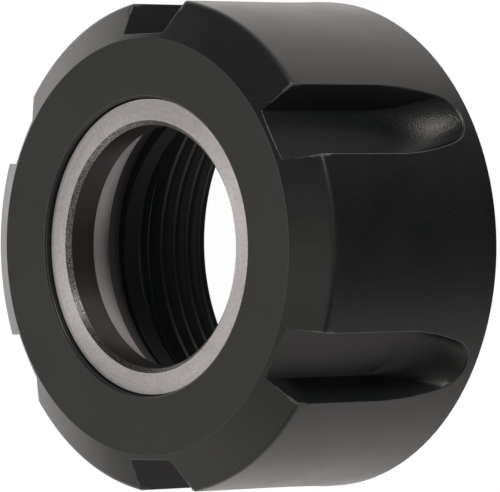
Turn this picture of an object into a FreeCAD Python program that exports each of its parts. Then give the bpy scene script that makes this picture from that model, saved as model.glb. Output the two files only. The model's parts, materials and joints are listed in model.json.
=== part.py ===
import FreeCAD, Part
import math
import os
import re
import Sketcher
from FreeCAD import Vector

# Ball-bearing collet nut.
# Z is the nut's axis. The origin is the centre of the back face, on which the nut stands,
# and +Z points to the front face, where the bright clamping ring shows.

doc = FreeCAD.newDocument("collet_nut")
sizes = doc.addObject("Spreadsheet::Sheet", "sizes")

DRIVING_SIZES = {
    # outside of the nut
    "nut_diameter": 42,
    "nut_length": 21.5,
    "front_chamfer_height": 3.3,
    "front_chamfer_length": 2.15,
    "front_edge_radius": 0.45,
    "back_edge_chamfer": 0.4,
    # inside of the nut, its walls counted inwards from the outside
    "lip_thickness": 3,
    "bore_edge_chamfer": 0.15,
    "cavity_wall": 6.57,
    "thread_wall": 5,
    "relief_depth": 0.3,
    "thread_length": 7.1,
    # grip flutes
    "flute_count": 6,
    "first_flute_angle": 30,
    "flute_floor_width": 4.82,
    "flute_wall_angle": 19.6,
    "flute_depth": 2.97,
    "flute_length": 20.1,
    "flute_runout_radius": 8.6,
    # clamping ring
    "ring_recess": 0.6,
    "ring_length": 10.4,
    "collar_height": 1.84,
    "ring_wall": 2.2,
    "ring_mouth_chamfer": 0.4,
    "ring_rear_chamfer": 0.3,
    "cone_start_depth": 2.9,
    "cone_half_angle": 30,
    "cone_height": 2.09,
    "groove_depth": 0.6,
    "groove_end_depth": 8.3,
    "lip_height": 0.25,
    "lip_bore_offset": 0.6,
    "lip_bore_angle": -50,
    "lip_bore_chamfer": 0.4,
    # ball race and its filling hole
    "ball_diameter": 3,
    "ball_spacing_gap": 0.1,
    "race_depth": 5.2,
    "fill_hole_clearance": 0.2,
    "plug_sunk": 0.3,
    "plug_edge_chamfer": 0.25,
    # clearances between the pieces
    "neck_clearance": 0.13,
    "collar_clearance": 0.08,
    "collar_end_play": 0.1,
    "race_clearance": 0.05,
    "plug_clearance": 0.02,
}
for row, (alias, value) in enumerate(DRIVING_SIZES.items(), start=1):
    sizes.set(f"A{row}", alias)
    sizes.set(f"B{row}", str(value))
    sizes.setAlias(f"B{row}", alias)

# Sizes that follow from the driving ones. Depths count from the nut's front face.
DERIVED_SIZES = {
    "nut_radius": "nut_diameter / 2",
    "front_face_radius": "nut_radius - front_chamfer_height",
    "thread_radius": "nut_radius - thread_wall",
    "relief_radius": "thread_radius + relief_depth",
    "cavity_radius": "nut_radius - cavity_wall",
    "collar_radius": "cavity_radius - collar_clearance",
    "neck_radius": "collar_radius - collar_height",
    "front_bore_radius": "neck_radius + neck_clearance",
    "ring_bore_radius": "neck_radius - ring_wall",
    "cone_large_radius": "ring_bore_radius + cone_height",
    "groove_radius": "cone_large_radius + groove_depth",
    "lip_bore_radius": "groove_radius - lip_height",
    "lip_blank_radius": "lip_bore_radius - 2 * lip_bore_offset",
    "ring_front": "nut_length - ring_recess",
    "ring_back": "ring_front - ring_length",
    "lip_back": "nut_length - lip_thickness",
    "collar_front": "lip_back - collar_end_play",
    "cavity_back": "ring_back - collar_end_play",
    "cone_front": "ring_front - cone_start_depth",
    "cone_run": "cone_height / tan(cone_half_angle * 1deg)",
    "cone_back": "cone_front - cone_run",
    "groove_back": "ring_front - groove_end_depth",
    "race_radius": "(collar_radius + cavity_radius) / 2",
    "race_height": "nut_length - race_depth",
    "ball_radius": "ball_diameter / 2",
    "race_groove_radius": "ball_radius + race_clearance",
    "fill_hole_radius": "ball_radius + fill_hole_clearance",
    "fill_hole_turn": "first_flute_angle + 2.5 * 360 / flute_count - 180",
    "plug_inner_end": "race_radius + race_groove_radius",
    "flute_floor": "nut_radius - flute_depth",
    "flute_tip_radius": "flute_floor_width / 2",
    "flute_runout_length": "sqrt(2 * flute_runout_radius * flute_depth - flute_depth ^ 2)",
    "flute_runout_start": "nut_length - flute_length + flute_tip_radius + flute_runout_length",
}
for row, (alias, formula) in enumerate(DERIVED_SIZES.items(), start=len(DRIVING_SIZES) + 2):
    sizes.set(f"A{row}", alias)
    sizes.set(f"B{row}", f"={formula}")
    sizes.setAlias(f"B{row}", alias)
doc.recompute()

# How far a cutter runs on past the surface that it breaks through
OVERSHOOT = 1.0
# Places nearer to each other than this count as one
SAME_PLACE = 1e-3
# How many sections shape a flute, and at which share of the run-out's arc the first of them lies
FLUTE_SECTIONS = 7
FIRST_SECTION_SHARE = 0.05


def value_of(formula):
    """The number that a formula of sheet names gives now."""
    result = sizes.evalExpression(formula)
    return float(getattr(result, "Value", result))


def bound(formula):
    """The same formula, written for an object outside the sheet."""
    names = {**DRIVING_SIZES, **DERIVED_SIZES}

    def in_sheet(word):
        return f"sizes.{word[0]}" if word[0] in names else word[0]

    return re.sub(r"[a-z_]+", in_sheet, formula)


def new_body(label):
    body = doc.addObject("PartDesign::Body", label)
    body.Label = label
    return body


def sketch_on(body, role, name):
    """A sketch on one of the body's own origin planes."""
    plane = next(item for item in body.Origin.OriginFeatures if item.Role == role)
    sketch = body.newObject("Sketcher::SketchObject", name)
    sketch.AttachmentSupport = [(plane, "")]
    sketch.MapMode = "FlatFace"
    return sketch


def fix_point(sketch, element, end, x_formula, y_formula):
    """Ties one point of a sketch to two formulas of sheet names."""
    for kind, axis, formula in (("DistanceX", -2, x_formula), ("DistanceY", -1, y_formula)):
        if formula == "0":
            sketch.addConstraint(Sketcher.Constraint("PointOnObject", element, end, axis))
        else:
            rule = Sketcher.Constraint(kind, -1, 1, element, end, value_of(formula))
            index = sketch.addConstraint(rule)
            sketch.setExpression(f"Constraints[{index}]", bound(formula))


def draw_polygon(sketch, corners):
    """A closed outline of straight lines, each corner tied to two formulas."""
    points = [Vector(value_of(x), value_of(y), 0) for x, y in corners]
    start, end = 1, 2
    for index, point in enumerate(points):
        sketch.addGeometry(Part.LineSegment(point, points[(index + 1) % len(points)]), False)
    for index, (x_formula, y_formula) in enumerate(corners):
        line_before = (index - 1) % len(corners)
        sketch.addConstraint(Sketcher.Constraint("Coincident", line_before, end, index, start))
        fix_point(sketch, index, start, x_formula, y_formula)


def draw_circle(sketch, x_formula, y_formula, radius_formula):
    centre = Vector(value_of(x_formula), value_of(y_formula), 0)
    circle = Part.Circle(centre, Vector(0, 0, 1), value_of(radius_formula))
    sketch.addGeometry(circle, False)
    fix_point(sketch, 0, 3, x_formula, y_formula)
    index = sketch.addConstraint(Sketcher.Constraint("Radius", 0, circle.Radius))
    sketch.setExpression(f"Constraints[{index}]", bound(radius_formula))


def turn(body, sketch, kind, name):
    """A full turn of a sketch about the nut's axis."""
    feature = body.newObject(kind, name)
    feature.Profile = sketch
    feature.ReferenceAxis = (sketch, ["V_Axis"])
    feature.Angle = 360
    doc.recompute()
    return feature


def circle_edges(shape, radius, height):
    """The names of the circular edges of this radius that lie flat at this height."""
    names = []
    for index, edge in enumerate(shape.Edges, start=1):
        circle = edge.Curve
        if not isinstance(circle, Part.Circle) or abs(abs(circle.Axis.z) - 1) > SAME_PLACE:
            continue
        if abs(circle.Radius - radius) < SAME_PLACE and abs(circle.Center.z - height) < SAME_PLACE:
            names.append(f"Edge{index}")
    return names


def dress_edges(body, kind, name, edges, size_property, formula):
    """A fillet or a chamfer of the body's latest solid."""
    solid = body.Tip
    feature = body.newObject(kind, name)
    feature.Base = (solid, edges)
    feature.setExpression(size_property, bound(formula))
    doc.recompute()
    return feature


def cut_race(body, name):
    """The half-round groove in which the balls run."""
    sketch = sketch_on(body, "XZ_Plane", f"{name}_sketch")
    draw_circle(sketch, "race_radius", "race_height", "race_groove_radius")
    return turn(body, sketch, "PartDesign::Groove", name)


def draw_fill_hole(sketch, start_formula, radius_formula):
    """The circle of the filling hole or its plug, this far from the axis and in the middle of a land."""
    sketch.AttachmentOffset = FreeCAD.Placement(Vector(), FreeCAD.Rotation(Vector(0, 1, 0), 1))
    turned = "fill_hole_turn * 1deg"
    sketch.setExpression("AttachmentOffset.Rotation.Angle", bound(turned))
    sketch.setExpression("AttachmentOffset.Base.x", bound(f"-1 * {start_formula} * sin({turned})"))
    sketch.setExpression("AttachmentOffset.Base.z", bound(f"-1 * {start_formula} * cos({turned})"))
    draw_circle(sketch, "0", "race_height", radius_formula)


def make_nut_blank():
    """The nut as it comes from the lathe, with its ball race and the hole that the balls go in by."""
    body = new_body("nut_blank")
    profile = sketch_on(body, "XZ_Plane", "nut_profile")
    draw_polygon(profile, [
        ("thread_radius", "0"),
        ("nut_radius - back_edge_chamfer", "0"),
        ("nut_radius", "back_edge_chamfer"),
        ("nut_radius", "nut_length - front_chamfer_length"),
        ("front_face_radius", "nut_length"),
        ("front_bore_radius + bore_edge_chamfer", "nut_length"),
        ("front_bore_radius", "nut_length - bore_edge_chamfer"),
        ("front_bore_radius", "lip_back"),
        ("cavity_radius", "lip_back"),
        ("cavity_radius", "cavity_back"),
        ("relief_radius", "cavity_back"),
        ("relief_radius", "thread_length"),
        ("thread_radius", "thread_length"),
    ])
    turned = turn(body, profile, "PartDesign::Revolution", "turned_nut")
    chamfer_end = value_of("nut_length - front_chamfer_length")
    front_edge = circle_edges(turned.Shape, value_of("nut_radius"), chamfer_end)
    dress_edges(body, "PartDesign::Fillet", "front_edge", front_edge, "Radius", "front_edge_radius")
    cut_race(body, "outer_race")
    hole_sketch = sketch_on(body, "YZ_Plane", "fill_hole_sketch")
    draw_fill_hole(hole_sketch, "0", "fill_hole_radius")
    hole = body.newObject("PartDesign::Pocket", "fill_hole")
    hole.Profile = hole_sketch
    hole.Type = "ThroughAll"
    doc.recompute()
    return body


def draw_flute_section(sketch, turned):
    """The flute cut flat where its run-out has turned this far: straight sides and a nose of three arcs."""
    lift = f"flute_runout_radius * (1 - cos({turned}))"
    half_width_formula = f"flute_tip_radius + {lift} * tan(flute_wall_angle * 1deg)"
    tip_formula = f"flute_runout_start - flute_runout_radius * sin({turned})"
    front_formula = f"nut_length + {OVERSHOOT}"
    half_width = value_of(half_width_formula)
    front = value_of(front_formula)
    side_end = value_of("flute_runout_start")
    tip_radius = value_of("flute_tip_radius")
    reach = side_end - value_of(tip_formula)
    side_radius = (half_width ** 2 + reach ** 2 - tip_radius ** 2) / (2 * (half_width - tip_radius))
    swing = math.atan2(reach, side_radius - half_width)
    normal = Vector(0, 0, 1)
    right_circle = Part.Circle(Vector(half_width - side_radius, side_end, 0), normal, side_radius)
    left_circle = Part.Circle(Vector(side_radius - half_width, side_end, 0), normal, side_radius)
    tip_circle = Part.Circle(Vector(0, side_end - reach, 0), normal, tip_radius)
    top_right = Vector(half_width, front, 0)
    top_left = Vector(-half_width, front, 0)
    right_side, right_arc, tip_arc, left_arc, left_side, top = sketch.addGeometry([
        Part.LineSegment(top_right, Vector(half_width, side_end, 0)),
        Part.ArcOfCircle(right_circle, -swing, 0),
        Part.ArcOfCircle(tip_circle, math.pi + swing, 2 * math.pi - swing),
        Part.ArcOfCircle(left_circle, math.pi, math.pi + swing),
        Part.LineSegment(Vector(-half_width, side_end, 0), top_left),
        Part.LineSegment(top_left, top_right),
    ], False)
    start, end, centre = 1, 2, 3
    sketch.addConstraint([
        Sketcher.Constraint("Tangent", right_side, end, right_arc, end),
        Sketcher.Constraint("Tangent", right_arc, start, tip_arc, end),
        Sketcher.Constraint("Tangent", tip_arc, start, left_arc, end),
        Sketcher.Constraint("Tangent", left_arc, start, left_side, start),
        Sketcher.Constraint("Coincident", left_side, end, top, start),
        Sketcher.Constraint("Coincident", top, end, right_side, start),
        Sketcher.Constraint("Vertical", right_side),
        Sketcher.Constraint("Vertical", left_side),
        Sketcher.Constraint("PointOnObject", tip_arc, centre, -2),
    ])
    fix_point(sketch, right_side, start, half_width_formula, front_formula)
    fix_point(sketch, left_side, end, f"-1 * ({half_width_formula})", front_formula)
    for element, point, formula in (
            (right_side, end, "flute_runout_start"),
            (left_side, start, "flute_runout_start"),
            (tip_arc, centre, tip_formula)):
        rule = Sketcher.Constraint("DistanceY", -1, 1, element, point, value_of(formula))
        index = sketch.addConstraint(rule)
        sketch.setExpression(f"Constraints[{index}]", bound(formula))
    index = sketch.addConstraint(Sketcher.Constraint("Radius", tip_arc, tip_radius))
    sketch.setExpression(f"Constraints[{index}]", bound("flute_tip_radius"))


def make_flute_cutter():
    """The space that one flute takes out of the nut, at angle zero.

    It is what a tapered mill sweeps: along the floor, then outwards on an arc. The walls lean
    outwards from the floor, and the run-out is a scoop as round as the mill.
    """
    body = new_body("flute_cutter")
    whole_turn = f"acos(1 - (flute_depth + {OVERSHOOT}) / flute_runout_radius)"
    sections = []
    for index in range(FLUTE_SECTIONS):
        share = FIRST_SECTION_SHARE + (1 - FIRST_SECTION_SHARE) * index / (FLUTE_SECTIONS - 1)
        turned = f"{share:.4f} * {whole_turn}"
        rise = f"cos({FIRST_SECTION_SHARE} * {whole_turn}) - cos({turned})"
        section = sketch_on(body, "YZ_Plane", f"flute_section_{index + 1}")
        section.setExpression(
            "AttachmentOffset.Base.z", bound(f"flute_floor + flute_runout_radius * ({rise})"))
        draw_flute_section(section, turned)
        sections.append(section)
    doc.recompute()
    sweep = body.newObject("PartDesign::AdditiveLoft", "flute_sweep")
    sweep.Profile = sections[0]
    sweep.Sections = sections[1:]
    doc.recompute()
    return body


def make_nut_body(blank, cutter):
    """The turned blank with its flutes milled in, evenly spaced."""
    count = int(value_of("flute_count"))
    flutes = []
    for index in range(count):
        flute = doc.addObject("App::Link", f"flute_{index + 1}")
        flute.LinkedObject = cutter
        angle = f"(first_flute_angle + {index} * 360 / flute_count) * 1deg"
        flute.setExpression("Placement.Rotation.Angle", bound(angle))
        flutes.append(flute)
    all_flutes = doc.addObject("Part::Compound", "all_flutes")
    all_flutes.Links = flutes
    nut = doc.addObject("Part::Cut", "nut_body")
    nut.Base = blank
    nut.Tool = all_flutes
    doc.recompute()
    return nut


def make_clamping_ring():
    """The loose ring: a cone to press the collet home, a groove and an off-centre lip to draw it out."""
    body = new_body("clamping_ring")
    profile = sketch_on(body, "XZ_Plane", "ring_profile")
    draw_polygon(profile, [
        ("ring_bore_radius + ring_mouth_chamfer", "ring_front"),
        ("neck_radius", "ring_front"),
        ("neck_radius", "collar_front"),
        ("collar_radius", "collar_front"),
        ("collar_radius", "ring_back + ring_rear_chamfer"),
        ("collar_radius - ring_rear_chamfer", "ring_back"),
        ("lip_blank_radius", "ring_back"),
        ("lip_blank_radius", "groove_back"),
        ("groove_radius", "groove_back"),
        ("groove_radius", "cone_back"),
        ("cone_large_radius", "cone_back"),
        ("ring_bore_radius", "cone_front"),
        ("ring_bore_radius", "ring_front - ring_mouth_chamfer"),
    ])
    turn(body, profile, "PartDesign::Revolution", "turned_ring")
    cut_race(body, "inner_race")
    eye_sketch = sketch_on(body, "XY_Plane", "lip_bore_sketch")
    eye_sketch.setExpression("AttachmentOffset.Base.z", bound("groove_back"))
    draw_circle(
        eye_sketch,
        "lip_bore_offset * cos(lip_bore_angle * 1deg)",
        "lip_bore_offset * sin(lip_bore_angle * 1deg)",
        "lip_bore_radius")
    eye = body.newObject("PartDesign::Pocket", "lip_bore")
    eye.Profile = eye_sketch
    eye.setExpression("Length", bound("groove_back - ring_back"))
    doc.recompute()
    rear_edge = circle_edges(body.Shape, value_of("lip_bore_radius"), value_of("ring_back"))
    dress_edges(body, "PartDesign::Chamfer", "lip_bore_edge", rear_edge, "Size", "lip_bore_chamfer")
    return body


def make_bearing_balls():
    """A full row of balls, as many as the race holds with a small gap between neighbours."""
    pitch = value_of("ball_diameter + ball_spacing_gap")
    count = int(2 * math.pi * value_of("race_radius") / pitch)
    balls = []
    for index in range(count):
        name = f"bearing_ball_{index + 1:02d}"
        ball = doc.addObject("Part::Sphere", name)
        ball.setExpression("Radius", "sizes.ball_radius")
        angle = 360 * index / count
        ball.setExpression("Placement.Base.x", f"sizes.race_radius * cos({angle}deg)")
        ball.setExpression("Placement.Base.y", f"sizes.race_radius * sin({angle}deg)")
        ball.setExpression("Placement.Base.z", "sizes.race_height")
        balls.append(ball)
    doc.recompute()
    return balls


def make_fill_plug():
    """The pin that closes the filling hole, driven in just below the surface."""
    body = new_body("ball_fill_plug")
    sketch = sketch_on(body, "YZ_Plane", "plug_sketch")
    draw_fill_hole(sketch, "plug_inner_end", "fill_hole_radius - plug_clearance")
    pin = body.newObject("PartDesign::Pad", "plug_pin")
    pin.Profile = sketch
    pin.Reversed = True
    pin.setExpression("Length", bound("nut_radius - plug_sunk - plug_inner_end"))
    doc.recompute()
    outer_end = value_of("nut_radius - plug_sunk")
    edges = []
    for index, edge in enumerate(pin.Shape.Edges, start=1):
        if isinstance(edge.Curve, Part.Circle):
            centre = edge.Curve.Center
            if abs(math.hypot(centre.x, centre.y) - outer_end) < SAME_PLACE:
                edges.append(f"Edge{index}")
    dress_edges(body, "PartDesign::Chamfer", "plug_edge", edges, "Size", "plug_edge_chamfer")
    return body


def check_and_export(parts):
    """Stops at anything that failed to build, then writes one file for each piece."""
    for item in doc.Objects:
        if "Invalid" in item.State or "Error" in item.State:
            raise RuntimeError(f"{item.Name} did not build: {item.State}")
    for part in parts:
        shape = part.Shape
        if shape.isNull() or not shape.isValid() or len(shape.Solids) != 1:
            raise RuntimeError(f"{part.Label} is not one valid solid")
    os.makedirs("parts", exist_ok=True)
    for part in parts:
        part.Shape.exportStep(f"parts/{part.Label}.step")
        print(f"{part.Label}: {part.Shape.Volume:.2f} mm3")


nut_blank = make_nut_blank()
flute_cutter = make_flute_cutter()
nut_body = make_nut_body(nut_blank, flute_cutter)
clamping_ring = make_clamping_ring()
fill_plug = make_fill_plug()
bearing_balls = make_bearing_balls()
check_and_export([nut_body, clamping_ring, fill_plug, *bearing_balls])
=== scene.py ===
import json
import math

import bmesh
import bpy
from mathutils import Matrix, Vector


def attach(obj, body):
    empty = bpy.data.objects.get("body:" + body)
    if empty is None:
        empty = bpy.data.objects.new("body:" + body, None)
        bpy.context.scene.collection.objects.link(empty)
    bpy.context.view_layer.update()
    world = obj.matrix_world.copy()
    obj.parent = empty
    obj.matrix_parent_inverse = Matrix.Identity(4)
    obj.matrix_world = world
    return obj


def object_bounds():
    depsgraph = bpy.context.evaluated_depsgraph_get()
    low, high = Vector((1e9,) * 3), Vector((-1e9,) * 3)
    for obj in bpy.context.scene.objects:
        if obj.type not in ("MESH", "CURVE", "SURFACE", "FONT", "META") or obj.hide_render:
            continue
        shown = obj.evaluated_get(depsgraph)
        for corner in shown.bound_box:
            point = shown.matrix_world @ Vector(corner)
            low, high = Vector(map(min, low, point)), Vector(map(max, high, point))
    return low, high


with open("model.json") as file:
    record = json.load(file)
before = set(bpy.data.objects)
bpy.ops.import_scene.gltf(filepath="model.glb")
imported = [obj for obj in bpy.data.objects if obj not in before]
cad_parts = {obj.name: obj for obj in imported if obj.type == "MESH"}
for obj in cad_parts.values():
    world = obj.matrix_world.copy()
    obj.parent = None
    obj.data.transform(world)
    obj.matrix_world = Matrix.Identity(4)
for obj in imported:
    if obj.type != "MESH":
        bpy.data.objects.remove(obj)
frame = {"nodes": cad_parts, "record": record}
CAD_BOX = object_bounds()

# Looks of a ball-bearing collet nut.
# The nut stands on its back face at the origin and +Z points to its front face. Lengths are in metres.

MM = 0.001

# Camera: the nut's axis as the photograph shows it, and the front face's centre seen from the lens
IMAGE_WIDTH = 500
FOCAL_PIXELS = 6109.5
SENSOR_WIDTH = 36.0
AXIS_TURN = math.radians(46.726)
AXIS_TILT = math.radians(-0.646)
FACE_CENTRE = Vector((-8.953, -0.070, -516.31)) * MM
FLUTE_TURN = math.radians(-0.7)
CLIP_START = 0.01
CLIP_END = 10.0

# Sizes of the solids, from their box and their mounts. The cone's mount is at the middle of the cone.
MOUNTS = {mount["name"]: mount for mount in frame["record"]["mounts"]}
THREAD_BORE = MOUNTS["spindle_thread"]["dims"]
NOSE_BORE = MOUNTS["collet_nose_bore"]["dims"]
NUT_LENGTH = CAD_BOX[1][2]
NUT_RADIUS = CAD_BOX[1][0]
THREAD_MAJOR_RADIUS = THREAD_BORE["r_mm"] * MM
THREAD_LENGTH = THREAD_BORE["length_mm"] * MM
RING_BORE_RADIUS = NOSE_BORE["r_mm"] * MM
LAND_MIDDLE = MOUNTS["collet_nose_bore"]["pos_m"][2]
LAND_FRONT = LAND_MIDDLE + NOSE_BORE["length_mm"] * MM / 2
LAND_BACK = LAND_MIDDLE - NOSE_BORE["length_mm"] * MM / 2
CONE_BACK = 2 * MOUNTS["collet_cone"]["pos_m"][2] - LAND_BACK
GROOVE_BACK = MOUNTS["collet_groove"]["pos_m"][2]
MOUTH_CHAMFER = 0.40 * MM
RING_MOUTH_RADIUS = RING_BORE_RADIUS + MOUTH_CHAMFER

# Thread: ISO metric form of the female M32 x 1.5, right-hand, with a lead at its back and front end
THREAD_PITCH = 1.5 * MM
THREAD_MINOR_RADIUS = 15.19 * MM
THREAD_DEPTH = THREAD_MAJOR_RADIUS - THREAD_MINOR_RADIUS
THREAD_FLANK = math.radians(30)
THREAD_CREST_HEIGHT = 1.19 * MM
THREAD_CREST_ANGLE = math.pi
THREAD_LEAD_RADIUS = 15.7 * MM
THREAD_LEAD_LENGTH = 0.5 * MM

# Half of the thread's flat crest and of its flat root, as shares of the pitch
HALF_CREST = 1 / 8
HALF_ROOT = 1 / 16

# Mesh of the thread: it stays this thick at the root and ends this far inside the bore's wall
THREAD_WALL = 0.025 * MM
THREAD_SINK = 0.002 * MM
THREAD_COLUMNS = 180
FLANK_STEPS = 4
SPARE_TURNS = 2
WELD_DISTANCE = 0.0005 * MM
SLIVER_WIDTH = 0.0002 * MM

# How far the nut's sharp edges are broken, and how much further its front rim is
EDGE_RADIUS = 0.14 * MM
RIM_HEIGHT = 18.5 * MM
RIM_RADIUS = 20.2 * MM
RIM_ROLL = 0.50 * MM
BEVEL_SAMPLES = 8

# Zones of the nut: its inner walls, the flutes' scooped ends, thread crests, relief, and worn edges with
# a painted highlight
INNER_WALLS = 16.6 * MM
SCOOP_START = 9.4 * MM
SCOOP_FULL = 7.4 * MM
SCOOP_RADIUS = NUT_RADIUS - 0.05 * MM
CREST_RADIUS = THREAD_MINOR_RADIUS + 0.02 * MM
RELIEF_RADIUS = THREAD_MAJOR_RADIUS + 0.05 * MM
WEAR_AND_HIGHLIGHT_RADIUS = 18.93 * MM
WEAR_AND_HIGHLIGHT_HEIGHT = NUT_LENGTH - 0.3 * MM

# An edge begins to wear and take its painted highlight at the first cosine of its bend, and is fully
# bright at the second
WEAR_AND_HIGHLIGHT_START = 0.995
WEAR_AND_HIGHLIGHT_FULL = 0.93

# Zone of the ring's land: this close to the bore's own radius
LAND_RADIUS = RING_BORE_RADIUS + 0.01 * MM

# Widths over which one zone of a steel fades into the next
SHARP_FADE = 0.02 * MM
CREST_FADE = 0.06 * MM
LIP_FADE = 0.08 * MM
FADE = 0.1 * MM
SOFT_FADE = 0.2 * MM
RIM_FADE = 0.3 * MM

# Nearly all values of a noise lie between these two
NOISE_LOW = 0.3
NOISE_HIGH = 0.7

# Tones of the black-oxide steel
OXIDE_DARK = (0.0062, 0.0086, 0.0088)
OXIDE_PALE = (0.0093, 0.0118, 0.0116)
OXIDE_SPECK = (0.030, 0.029, 0.027)
# Painted light: the bore's walls are painted greyer than the oxide and its relief paler still; the
# crests keep a dark oxide
OXIDE_WITH_PAINTED_LIGHT_IN_BORE = (0.056, 0.066, 0.068)
OXIDE_ON_CREST = (0.010, 0.008, 0.007)
OXIDE_WITH_PAINTED_LIGHT_IN_RELIEF = (0.16, 0.19, 0.20)
# Worn steel on the edges, painted brighter still as a highlight
WORN_EDGE_AND_HIGHLIGHT = (0.16, 0.155, 0.15)
OXIDE_MIRROR_TINT = (1.0, 0.96, 0.935, 1.0)

# Finish of the black-oxide steel: how much specks and edge wear with its painted highlight show, how
# rough it is and how deep its grain
SPECK_SHARE = 0.42
WEAR_AND_HIGHLIGHT_SHARE = 0.6
OXIDE_SMOOTHEST = 0.33
OXIDE_ROUGHEST = 0.43
SCOOP_POLISH = 0.06
BORE_ROUGHNESS = 0.6
TURNING_DEPTH = 0.0010 * MM
GRAIN_DEPTH = 0.0055 * MM
MILLING_DEPTH = 0.045 * MM

# Tones of the ring's ground steel
GROUND_DARK = (0.516, 0.491, 0.496)
GROUND_PALE = (0.660, 0.636, 0.643)
GROUND_STAIN = (0.34, 0.31, 0.295)
GROUND_SPECKLE = (0.36, 0.34, 0.34)
MOUTH_DARK = (0.05, 0.048, 0.045)
MOUTH_PALE = (0.32, 0.305, 0.29)
# Painted shade inside the ring's bore: its land, cone, groove and lip are painted darker than its ground
# face; the cone keeps its ground streaks
LAND_PAINTED_SHADE = (0.028, 0.026, 0.024)
CONE_SHADED_DARK = (0.115, 0.104, 0.104)
CONE_SHADED_PALE = (0.265, 0.240, 0.240)
GROOVE_PAINTED_SHADE = (0.085, 0.083, 0.081)
LIP_PAINTED_SHADE = (0.022, 0.026, 0.026)

# Finish of the ring: how much each flaw and the cone's painted shade show, how rough and how dull it is
# and how deep its grain
STAIN_SHARE = 0.35
SPECKLE_SHARE = 0.45
CONE_SHADE_SHARE = 0.85
GROUND_SMOOTHEST = 0.36
GROUND_ROUGHEST = 0.48
GROOVE_ROUGHNESS = 0.8
LAND_DULLNESS = 0.7
LIP_SHINE = 0.6
GRINDING_DEPTH = 0.0022 * MM
CRUMB_DEPTH = 0.01 * MM

# The grinding lines spread the light this strongly, and a quarter turn spreads it across them
GRINDING_STREAK = 0.75
QUARTER_TURN = 0.25

# Polished balls: steel, grease, roughness and the depth of their marks
BALL_STEEL = (0.62, 0.61, 0.60)
BALL_GREASE = (0.50, 0.48, 0.43)
BALL_SMOOTHEST = 0.10
BALL_ROUGHEST = 0.22
MARK_DEPTH = 0.0008 * MM

# Floor: its size, its gap under the nut, and how bright the lens and the bore see it
FLOOR_HALF = 3.0
FLOOR_GAP = 0.02 * MM
FLOOR_GLOW = 0.98
FLOOR_SHADOW_SHARE = 0.06
FLOOR_DARK = (0.80, 0.80, 0.80)
FLOOR_PALE = (0.84, 0.84, 0.84)
BORE_GLOW = 0.45

# Room: a plain grey sky, and below the horizon white walls with a dark side, by their compass angle
SKY_LEVEL = 0.104
ROOM_SIDE_LEVEL = 0.92
ROOM_BACK_LEVEL = 1.48
HALF_LIT_LEVEL = 0.56
SHADE_LEVEL = 0.04
ROOM_TINT = (1.03, 0.985, 0.97)
ROOM_TURN = math.radians(15)
ROOM_SIDE = math.radians(75)
ROOM_BACK = math.radians(178)
HALF_LIT_START = math.radians(-60)
SHADE_START = math.radians(-27)
SHADE_END = math.radians(70)
SHADE_BLUR = math.radians(3)
HORIZON_BLUR = 0.05
WHITE = (1.0, 1.0, 1.0)

# Softboxes: name, place, width, height and the brightness of the panel
LAMP_COLOUR = (1.0, 0.975, 0.945)
SOFTBOXES = (
    ("overhead_light", (-0.14, -0.19, 0.38), 0.80, 0.80, 0.68),
    ("side_light", (-0.12, -0.38, 0.18), 0.55, 0.34, 0.34),
    ("back_light", (-0.42, 0.06, 0.10), 0.50, 0.18, 1.75),
    ("small_light", (0.240, 0.275, 0.108), 0.10, 0.10, 22.0),
    ("edge_light", (0.360, 0.030, 0.160), 0.25, 0.10, 0.95),
    ("ring_light", (-0.134, 0.063, 0.394), 0.09, 0.09, 3.4),
    ("front_light", (0.130, -0.030, 0.370), 0.16, 0.16, 0.7),
)


def face_camera():
    """The camera at the photograph's place: its axes and position, worked out in the nut's own frame."""
    axis = Vector((
        -math.sin(AXIS_TURN) * math.cos(AXIS_TILT),
        math.sin(AXIS_TILT),
        math.cos(AXIS_TURN) * math.cos(AXIS_TILT),
    ))
    side = Vector((0, 1, 0)).cross(axis).normalized()
    upward = axis.cross(side)
    to_nut = Matrix((side, upward, axis))
    place = to_nut @ -FACE_CENTRE + Vector((0, 0, NUT_LENGTH))
    turn = Matrix.Rotation(FLUTE_TURN, 4, "Z")
    data = bpy.data.cameras.new("camera")
    data.sensor_width = SENSOR_WIDTH
    data.lens = FOCAL_PIXELS * SENSOR_WIDTH / IMAGE_WIDTH
    data.clip_start = CLIP_START
    data.clip_end = CLIP_END
    camera = bpy.data.objects.new("camera", data)
    bpy.context.scene.collection.objects.link(camera)
    camera.matrix_world = turn @ Matrix.Translation(place) @ to_nut.to_4x4()
    bpy.context.scene.camera = camera


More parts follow.
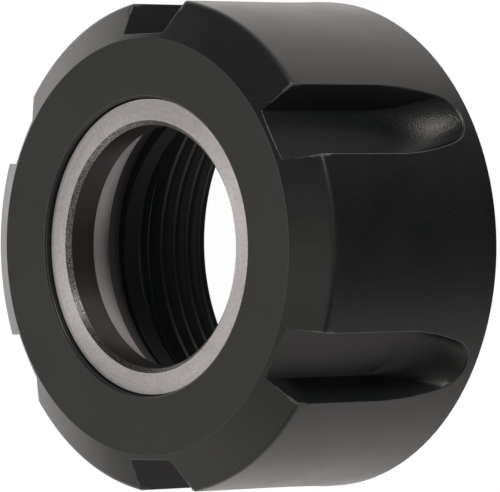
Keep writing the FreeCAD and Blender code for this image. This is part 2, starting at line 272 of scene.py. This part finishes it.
class Nodes:
    """A short way to write the node tree of a material or of the world."""

    def __init__(self, owner, output, space):
        self.owner = owner
        self.owner.use_nodes = True
        self.tree = owner.node_tree
        self.tree.nodes.clear()
        self.output = self.tree.nodes.new(output)
        self.space = space
        self.place = None

    @classmethod
    def of_material(cls, name):
        return cls(bpy.data.materials.new(name), "ShaderNodeOutputMaterial", "Object")

    def add(self, kind, links=None, **settings):
        """A new node with its settings, and its inputs by name or number."""
        node = self.tree.nodes.new(kind)
        for key, value in settings.items():
            setattr(node, key, value)
        for key, value in (links or {}).items():
            self.feed(node.inputs[key], value)
        return node

    def feed(self, socket, value):
        """Sets one input: a link where the value is another node's output, else a plain value."""
        if isinstance(value, bpy.types.NodeSocket):
            self.tree.links.new(value, socket)
        else:
            socket.default_value = value

    def math(self, operation, first, second=0.0):
        return self.add("ShaderNodeMath", {0: first, 1: second}, operation=operation).outputs[0]

    def product(self, first, *others):
        for value in others:
            first = self.math("MULTIPLY", first, value)
        return first

    def mixed(self, first, second, share):
        """The first value by its share and the second by what is left."""
        return self.math("ADD", self.product(first, share), self.product(second, 1.0 - share))

    def coordinates(self):
        """The point in the nut's frame, its height, its distance from the axis and its angle."""
        if self.place is None:
            point = self.add("ShaderNodeTexCoord").outputs[self.space]
            x, y, z = self.add("ShaderNodeSeparateXYZ", {0: point}).outputs
            radius = self.math("SQRT", self.math("ADD", self.product(x, x), self.product(y, y)))
            angle = self.math("ARCTAN2", y, x)
            self.place = (point, z, radius, angle)
        return self.place

    def noise(self, scale, detail=3.0, roughness=0.5, vector=None):
        """Noise of so many cells in a metre, or in one unit of the vector that is given."""
        vector = self.coordinates()[0] if vector is None else vector
        links = {"Vector": vector, "Scale": scale, "Detail": detail, "Roughness": roughness}
        return self.add("ShaderNodeTexNoise", links).outputs["Fac"]

    def lathe_grain(self, per_mm, along):
        """Fine lines that run round the nut's axis, as turning and grinding leave them."""
        _, z, radius, angle = self.coordinates()
        links = {
            0: self.product(radius, per_mm / MM),
            1: self.product(z, per_mm / MM),
            2: self.product(angle, along),
        }
        stretched = self.add("ShaderNodeCombineXYZ", links).outputs[0]
        return self.noise(scale=1.0, detail=2.0, roughness=0.6, vector=stretched)

    def ramp(self, value, low, high, out_low=0.0, out_high=1.0, smooth=False):
        """Follows the value from low to high and is level before and after. Low may be the larger."""
        links = {
            "Value": value,
            "From Min": low,
            "From Max": high,
            "To Min": out_low,
            "To Max": out_high,
        }
        kind = "SMOOTHSTEP" if smooth else "LINEAR"
        return self.add("ShaderNodeMapRange", links, interpolation_type=kind).outputs[0]

    def band(self, value, low, high, blur):
        """1 where the value lies between low and high, with soft ends."""
        rises = self.ramp(value, low - blur, low + blur, smooth=True)
        falls = self.ramp(value, high - blur, high + blur, out_low=1.0, out_high=0.0, smooth=True)
        return self.product(rises, falls)

    def colours(self, factor, first, second):
        """The first colour where the factor is 0 and the second where it is 1."""
        node = self.add("ShaderNodeMix", data_type="RGBA")
        sockets = {item.identifier: item for item in node.inputs}
        self.feed(sockets["Factor_Float"], factor)
        for key, value in (("A_Color", first), ("B_Color", second)):
            plain = isinstance(value, tuple)
            self.feed(sockets[key], (*value, 1.0) if plain else value)
        return next(item for item in node.outputs if item.identifier == "Result_Color")

    def bump(self, height, depth, strength=1.0, normal=None):
        links = {"Height": height, "Distance": depth, "Strength": strength}
        if normal is not None:
            links["Normal"] = normal
        return self.add("ShaderNodeBump", links).outputs[0]

    def finish(self, shader):
        self.tree.links.new(shader, self.output.inputs["Surface"])
        return self.owner


def inner_walls(nodes):
    """1 on the walls of the nut's bores, behind its front lip."""
    _, z, radius, _ = nodes.coordinates()
    within = nodes.ramp(radius, INNER_WALLS, INNER_WALLS - SOFT_FADE)
    return nodes.product(within, nodes.ramp(z, LAND_FRONT, LAND_FRONT - SOFT_FADE))


def scooped_ends(nodes):
    """1 in the scooped ends of the flutes, which the mill left rougher."""
    _, z, radius, _ = nodes.coordinates()
    under_skin = nodes.ramp(radius, SCOOP_RADIUS, SCOOP_RADIUS - FADE)
    outside_bore = nodes.ramp(radius, INNER_WALLS, INNER_WALLS + SOFT_FADE)
    low = nodes.ramp(z, SCOOP_START, SCOOP_FULL, smooth=True)
    return nodes.product(under_skin, low, outside_bore)


def rolled_edges(nodes):
    """The surface's direction with its sharp edges broken, the front rim's further than the rest."""
    _, z, radius, _ = nodes.coordinates()
    high = nodes.ramp(z, RIM_HEIGHT - RIM_FADE, RIM_HEIGHT, smooth=True)
    rim = nodes.product(high, nodes.ramp(radius, RIM_RADIUS - SOFT_FADE, RIM_RADIUS, smooth=True))
    reach = nodes.ramp(rim, 0.0, 1.0, out_low=EDGE_RADIUS, out_high=RIM_ROLL)
    return nodes.add("ShaderNodeBevel", {"Radius": reach}, samples=BEVEL_SAMPLES).outputs[0]


def worn_and_highlit_edges(nodes, rounded):
    """1 on the outer edges, where handling wears the oxide thin and where a highlight is painted on."""
    _, z, radius, _ = nodes.coordinates()
    flat = nodes.add("ShaderNodeNewGeometry").outputs["Normal"]
    compare = nodes.add("ShaderNodeVectorMath", {0: rounded, 1: flat}, operation="DOT_PRODUCT")
    bent = nodes.ramp(compare.outputs["Value"], WEAR_AND_HIGHLIGHT_START, WEAR_AND_HIGHLIGHT_FULL)
    outer = nodes.ramp(radius, WEAR_AND_HIGHLIGHT_RADIUS, WEAR_AND_HIGHLIGHT_RADIUS + SOFT_FADE)
    front = nodes.ramp(z, WEAR_AND_HIGHLIGHT_HEIGHT, WEAR_AND_HIGHLIGHT_HEIGHT + FADE)
    return nodes.product(bent, nodes.math("MAXIMUM", outer, front))


def oxide_tone(nodes, cloud, grain, inside, wear_and_highlight):
    """The oxide's colour: nearly black and specked, greyed by painted light in the bore and its relief,
    and bright on edges that are worn and carry a painted highlight.
    """
    _, _, radius, _ = nodes.coordinates()
    crest = nodes.product(inside, nodes.ramp(radius, CREST_RADIUS + CREST_FADE, CREST_RADIUS))
    relief = nodes.product(inside, nodes.ramp(radius, RELIEF_RADIUS, RELIEF_RADIUS + FADE))
    specked = nodes.ramp(grain, low=0.50, high=0.75, out_high=SPECK_SHARE)
    tone = nodes.colours(nodes.ramp(cloud, low=0.35, high=0.65), OXIDE_DARK, OXIDE_PALE)
    tone = nodes.colours(specked, tone, OXIDE_SPECK)
    # Painted light greys the bore's walls, and more so its relief; the crests keep a dark oxide
    tone = nodes.colours(inside, tone, OXIDE_WITH_PAINTED_LIGHT_IN_BORE)
    tone = nodes.colours(crest, tone, OXIDE_ON_CREST)
    tone = nodes.colours(relief, tone, OXIDE_WITH_PAINTED_LIGHT_IN_RELIEF)
    # Worn edges, painted brighter still as a highlight
    return nodes.colours(nodes.product(wear_and_highlight, WEAR_AND_HIGHLIGHT_SHARE), tone, WORN_EDGE_AND_HIGHLIGHT)


def make_blackened_steel():
    """Black-oxide steel: satin, nearly neutral, with a fine grain, painted light in its bore, worn edges
    with a painted highlight and rougher flute ends.
    """
    nodes = Nodes.of_material("blackened_steel")
    cloud = nodes.noise(scale=140.0, detail=4.0, roughness=0.55)
    grain = nodes.noise(scale=5200.0, detail=2.0, roughness=0.6)
    milled = nodes.noise(scale=5600.0, detail=2.0, roughness=0.7)
    turned = nodes.lathe_grain(per_mm=9.0, along=1.5)
    inside = inner_walls(nodes)
    scooped = scooped_ends(nodes)
    rounded = rolled_edges(nodes)
    # Edges that are worn and carry a painted highlight
    wear_and_highlight = worn_and_highlit_edges(nodes, rounded)

    mottle = nodes.mixed(cloud, grain, share=0.6)
    roughness = nodes.ramp(mottle, NOISE_LOW, NOISE_HIGH, OXIDE_SMOOTHEST, OXIDE_ROUGHEST)
    roughness = nodes.math("SUBTRACT", roughness, nodes.product(scooped, SCOOP_POLISH))
    roughness = nodes.math("MAXIMUM", roughness, nodes.product(inside, BORE_ROUGHNESS))
    normal = nodes.bump(turned, TURNING_DEPTH, strength=0.6, normal=rounded)
    normal = nodes.bump(grain, GRAIN_DEPTH, normal=normal)
    normal = nodes.bump(nodes.product(milled, scooped), MILLING_DEPTH, normal=normal)
    links = {
        "Base Color": oxide_tone(nodes, cloud, grain, inside, wear_and_highlight),
        "Roughness": roughness,
        "Normal": normal,
        "IOR": 1.5,
        "Specular IOR Level": 0.42,
        "Specular Tint": OXIDE_MIRROR_TINT,
    }
    return nodes.finish(nodes.add("ShaderNodeBsdfPrincipled", links).outputs[0])


def ring_zones(nodes):
    """Where the ring's mouth chamfer, land, cone, groove and lip are. Each one hides those before it."""
    _, z, radius, _ = nodes.coordinates()
    chamfer = nodes.band(radius, RING_BORE_RADIUS + SHARP_FADE, RING_MOUTH_RADIUS, blur=SHARP_FADE)
    wall = nodes.ramp(radius, LAND_RADIUS + SHARP_FADE, LAND_RADIUS)
    mouth = nodes.product(chamfer, nodes.ramp(z, LAND_FRONT - FADE, LAND_FRONT, smooth=True))
    land = nodes.product(wall, nodes.ramp(z, LAND_BACK - FADE, LAND_BACK, smooth=True))
    cone = nodes.ramp(z, LAND_BACK + FADE / 2, LAND_BACK - FADE / 2)
    groove = nodes.ramp(z, CONE_BACK + FADE, CONE_BACK - FADE)
    lip = nodes.ramp(z, GROOVE_BACK + SHARP_FADE + LIP_FADE, GROOVE_BACK + SHARP_FADE)
    return mouth, land, cone, groove, lip


def ring_tone(nodes, streaks, crumbs, zones):
    """The ring's colour: bright, stained and speckled, crumbled on its mouth, and painted darker as
    shade on its cone, land, groove and lip.
    """
    mouth, land, cone, groove, lip = zones
    stain = nodes.noise(scale=420.0, detail=4.0, roughness=0.6)
    speckle = nodes.noise(scale=4800.0, detail=3.0, roughness=0.7)
    stained = nodes.ramp(stain, low=0.55, high=0.75, out_high=STAIN_SHARE)
    speckled = nodes.ramp(speckle, low=0.40, high=0.65, out_high=SPECKLE_SHARE)
    crumbled = nodes.colours(nodes.ramp(crumbs, low=0.38, high=0.62), MOUTH_DARK, MOUTH_PALE)
    # The cone's ground streaks, painted darker than the ring's face as shade inside the bore
    scored_and_shaded = nodes.colours(nodes.ramp(streaks, low=0.4, high=0.6), CONE_SHADED_DARK, CONE_SHADED_PALE)
    tone = nodes.colours(nodes.ramp(streaks, NOISE_LOW, NOISE_HIGH), GROUND_DARK, GROUND_PALE)
    tone = nodes.colours(stained, tone, GROUND_STAIN)
    tone = nodes.colours(speckled, tone, GROUND_SPECKLE)
    tone = nodes.colours(mouth, tone, crumbled)
    # Painted shade on the land, cone, groove and lip inside the bore
    tone = nodes.colours(land, tone, LAND_PAINTED_SHADE)
    tone = nodes.colours(nodes.product(cone, CONE_SHADE_SHARE), tone, scored_and_shaded)
    tone = nodes.colours(groove, tone, GROOVE_PAINTED_SHADE)
    return nodes.colours(lip, tone, LIP_PAINTED_SHADE)


def make_ground_steel():
    """The ring's steel: bright where it is ground round the axis, dull on its land and in its groove,
    and painted dark as shade inside its bore.
    """
    nodes = Nodes.of_material("ground_steel")
    fine = nodes.lathe_grain(per_mm=26.0, along=6.0)
    broad = nodes.lathe_grain(per_mm=5.0, along=2.0)
    streaks = nodes.mixed(fine, broad, share=0.6)
    crumbs = nodes.noise(scale=8000.0, detail=2.0, roughness=0.7)
    zones = ring_zones(nodes)
    mouth, land, _, groove, lip = zones

    dull = nodes.math("MAXIMUM", nodes.product(land, LAND_DULLNESS), groove)
    dull = nodes.math("SUBTRACT", dull, nodes.product(lip, LIP_SHINE))
    roughness = nodes.ramp(streaks, NOISE_LOW, NOISE_HIGH, GROUND_SMOOTHEST, GROUND_ROUGHEST)
    roughness = nodes.math("MAXIMUM", roughness, nodes.product(groove, GROOVE_ROUGHNESS))
    normal = nodes.bump(streaks, GRINDING_DEPTH, strength=0.8)
    normal = nodes.bump(nodes.product(crumbs, mouth), CRUMB_DEPTH, strength=0.8, normal=normal)
    links = {
        "Base Color": ring_tone(nodes, streaks, crumbs, zones),
        "Metallic": nodes.math("SUBTRACT", 1.0, dull),
        "Roughness": roughness,
        "Normal": normal,
        "Anisotropic": GRINDING_STREAK,
        "Anisotropic Rotation": QUARTER_TURN,
        "Tangent": nodes.add("ShaderNodeTangent", direction_type="RADIAL", axis="Z").outputs[0],
    }
    return nodes.finish(nodes.add("ShaderNodeBsdfPrincipled", links).outputs[0])


def make_ball_steel():
    """Polished bearing steel with a thin film of grease and hair-fine marks."""
    nodes = Nodes.of_material("ball_steel")
    film = nodes.noise(scale=900.0, detail=3.0, roughness=0.6)
    marks = nodes.noise(scale=9000.0, detail=2.0, roughness=0.6)
    links = {
        "Base Color": nodes.colours(nodes.ramp(film, low=0.4, high=0.65), BALL_STEEL, BALL_GREASE),
        "Metallic": 1.0,
        "Roughness": nodes.ramp(film, 0.35, NOISE_HIGH, BALL_SMOOTHEST, BALL_ROUGHEST),
        "Normal": nodes.bump(marks, MARK_DEPTH, strength=0.5),
    }
    return nodes.finish(nodes.add("ShaderNodeBsdfPrincipled", links).outputs[0])


def crest_height(angle):
    """How high the thread's crest is at this angle, on its first turn."""
    return THREAD_CREST_HEIGHT + THREAD_PITCH * (angle - THREAD_CREST_ANGLE) / (2 * math.pi)


def thread_radius(angle, height):
    """How far the thread's surface is from the axis: crest, flanks and root, opened by both leads."""
    share = ((height - crest_height(angle)) / THREAD_PITCH + 0.5) % 1.0 - 0.5
    from_crest = max(0.0, abs(share) - HALF_CREST) * THREAD_PITCH
    form = THREAD_MINOR_RADIUS + min(THREAD_DEPTH, from_crest / math.tan(THREAD_FLANK))
    back_slope = (THREAD_LEAD_RADIUS - THREAD_MINOR_RADIUS) / THREAD_LEAD_LENGTH
    front_slope = THREAD_DEPTH / THREAD_LEAD_LENGTH
    back_lead = THREAD_LEAD_RADIUS - height * back_slope
    front_lead = THREAD_MAJOR_RADIUS - (THREAD_LENGTH - height) * front_slope
    return min(THREAD_MAJOR_RADIUS - THREAD_WALL, max(form, back_lead, front_lead))


def thread_shares():
    """Where a turn's rows lie between two crests: at each edge of the form and along its flanks."""
    edges = (0.0, HALF_CREST, 0.5 - HALF_ROOT, 0.5 + HALF_ROOT, 1.0 - HALF_CREST, 1.0)
    steps = (1, FLANK_STEPS, 1, FLANK_STEPS, 1)
    shares = []
    for start, end, count in zip(edges, edges[1:], steps):
        shares += [start + (end - start) * step / count for step in range(count)]
    return shares


def thread_outline(angle):
    """The thread's section at this angle: its form from the back to the front, then its outer wall."""
    turns = math.ceil(THREAD_LENGTH / THREAD_PITCH)
    outline = []
    for turn in range(-SPARE_TURNS, turns + SPARE_TURNS):
        for share in thread_shares():
            height = crest_height(angle) + (turn + share) * THREAD_PITCH
            height = min(THREAD_LENGTH, max(0.0, height))
            outline.append((thread_radius(angle, height), height))
    outer = THREAD_MAJOR_RADIUS - THREAD_SINK
    return outline + [(outer, THREAD_LENGTH), (outer, 0.0)]


def make_thread(material):
    """The thread's ridge as one closed ring. Its rows follow the helix, so its edges stay sharp."""
    mesh = bmesh.new()
    columns = []
    for column in range(THREAD_COLUMNS + 1):
        angle = 2 * math.pi * column / THREAD_COLUMNS
        places = [(r * math.cos(angle), r * math.sin(angle), z) for r, z in thread_outline(angle)]
        columns.append([mesh.verts.new(place) for place in places])
    rows = len(columns[0])
    for here, there in zip(columns, columns[1:]):
        for row in range(rows):
            following = (row + 1) % rows
            mesh.faces.new((here[row], here[following], there[following], there[row]))
    bmesh.ops.remove_doubles(mesh, verts=mesh.verts, dist=WELD_DISTANCE)
    bmesh.ops.dissolve_degenerate(mesh, edges=mesh.edges, dist=SLIVER_WIDTH)
    bmesh.ops.recalc_face_normals(mesh, faces=mesh.faces)
    data = bpy.data.meshes.new("spindle_thread")
    mesh.to_mesh(data)
    mesh.free()
    data.materials.append(material)
    thread = bpy.data.objects.new("spindle_thread", data)
    bpy.context.scene.collection.objects.link(thread)
    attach(thread, "nut")


def seen_directly(nodes):
    """1 for a ray that comes from the lens, also through glass."""
    path = nodes.add("ShaderNodeLightPath").outputs
    return nodes.math("MAXIMUM", path["Is Camera Ray"], path["Is Transmission Ray"])


def make_floor():
    """A floor that is white to the lens, with a faint shadow, and that glows a little into the bore."""
    nodes = Nodes.of_material("floor")
    seen = seen_directly(nodes)
    _, _, radius, _ = nodes.coordinates()
    under_bore = nodes.ramp(radius, NUT_RADIUS, THREAD_MINOR_RADIUS, out_high=BORE_GLOW)
    glow = nodes.ramp(seen, 0.0, 1.0, out_low=under_bore, out_high=FLOOR_GLOW)
    speck = nodes.noise(scale=60.0)
    pale = nodes.colours(nodes.ramp(speck, NOISE_LOW, NOISE_HIGH), FLOOR_DARK, FLOOR_PALE)
    paint = nodes.colours(seen, pale, (FLOOR_SHADOW_SHARE,) * 3)
    matt = nodes.add("ShaderNodeBsdfDiffuse", {"Color": paint}).outputs[0]
    light = nodes.add("ShaderNodeEmission", {"Strength": glow}).outputs[0]
    material = nodes.finish(nodes.add("ShaderNodeAddShader", {0: matt, 1: light}).outputs[0])
    near, far = -FLOOR_HALF, FLOOR_HALF
    corners = [(near, near, 0), (far, near, 0), (far, far, 0), (near, far, 0)]
    data = bpy.data.meshes.new("floor")
    data.from_pydata(corners, [], [(0, 1, 2, 3)])
    data.materials.append(material)
    floor = bpy.data.objects.new("floor", data)
    floor.location.z = -FLOOR_GAP
    floor.visible_glossy = False
    bpy.context.scene.collection.objects.link(floor)


def make_world():
    """White to the lens, a grey light from above, and a white room with a dark side for the metal."""
    world = bpy.data.worlds.new("world")
    nodes = Nodes(world, "ShaderNodeOutputWorld", "Generated")
    seen = seen_directly(nodes)
    mirrored = nodes.add("ShaderNodeLightPath").outputs["Is Glossy Ray"]
    _, height, _, angle = nodes.coordinates()
    turned_away = nodes.math("ABSOLUTE", nodes.math("ADD", angle, ROOM_TURN))
    room = nodes.ramp(turned_away, ROOM_SIDE, ROOM_BACK, ROOM_SIDE_LEVEL, ROOM_BACK_LEVEL)
    for start, level in ((HALF_LIT_START, HALF_LIT_LEVEL), (SHADE_START, SHADE_LEVEL)):
        darker_side = nodes.band(angle, start, SHADE_END, SHADE_BLUR)
        room = nodes.ramp(darker_side, 0.0, 1.0, out_low=room, out_high=level)
    below = nodes.product(mirrored, nodes.ramp(height, 0.0, -HORIZON_BLUR))
    strength = nodes.ramp(below, 0.0, 1.0, out_low=SKY_LEVEL, out_high=room)
    strength = nodes.ramp(seen, 0.0, 1.0, out_low=strength, out_high=1.0)
    tint = nodes.colours(seen, ROOM_TINT, WHITE)
    nodes.finish(nodes.add("ShaderNodeBackground", {"Color": tint, "Strength": strength}).outputs[0])
    bpy.context.scene.world = world


def add_softbox(name, place, width, height, radiance):
    """A flat soft light that faces the nut. Its power follows from the brightness of its panel."""
    data = bpy.data.lights.new(name, "AREA")
    data.shape = "RECTANGLE"
    data.size = width
    data.size_y = height
    data.energy = radiance * math.pi * width * height
    data.color = LAMP_COLOUR
    lamp = bpy.data.objects.new(name, data)
    aim = Vector((0, 0, NUT_LENGTH / 2)) - Vector(place)
    lamp.location = place
    lamp.rotation_mode = "QUATERNION"
    lamp.rotation_quaternion = aim.to_track_quat("-Z", "Y")
    lamp.visible_camera = False
    bpy.context.scene.collection.objects.link(lamp)


def dress_solids(blackened_steel, ground_steel, ball_steel):
    """Each solid gets its steel."""
    for name, node in frame["nodes"].items():
        steel = blackened_steel
        if name == "clamping_ring":
            steel = ground_steel
        if name.startswith("bearing_ball"):
            steel = ball_steel
        node.data.materials.clear()
        node.data.materials.append(steel)


bpy.context.scene.view_settings.view_transform = "Standard"
face_camera()
make_floor()
make_world()
for softbox in SOFTBOXES:
    add_softbox(*softbox)

nut_steel = make_blackened_steel()
dress_solids(nut_steel, make_ground_steel(), make_ball_steel())
make_thread(nut_steel)
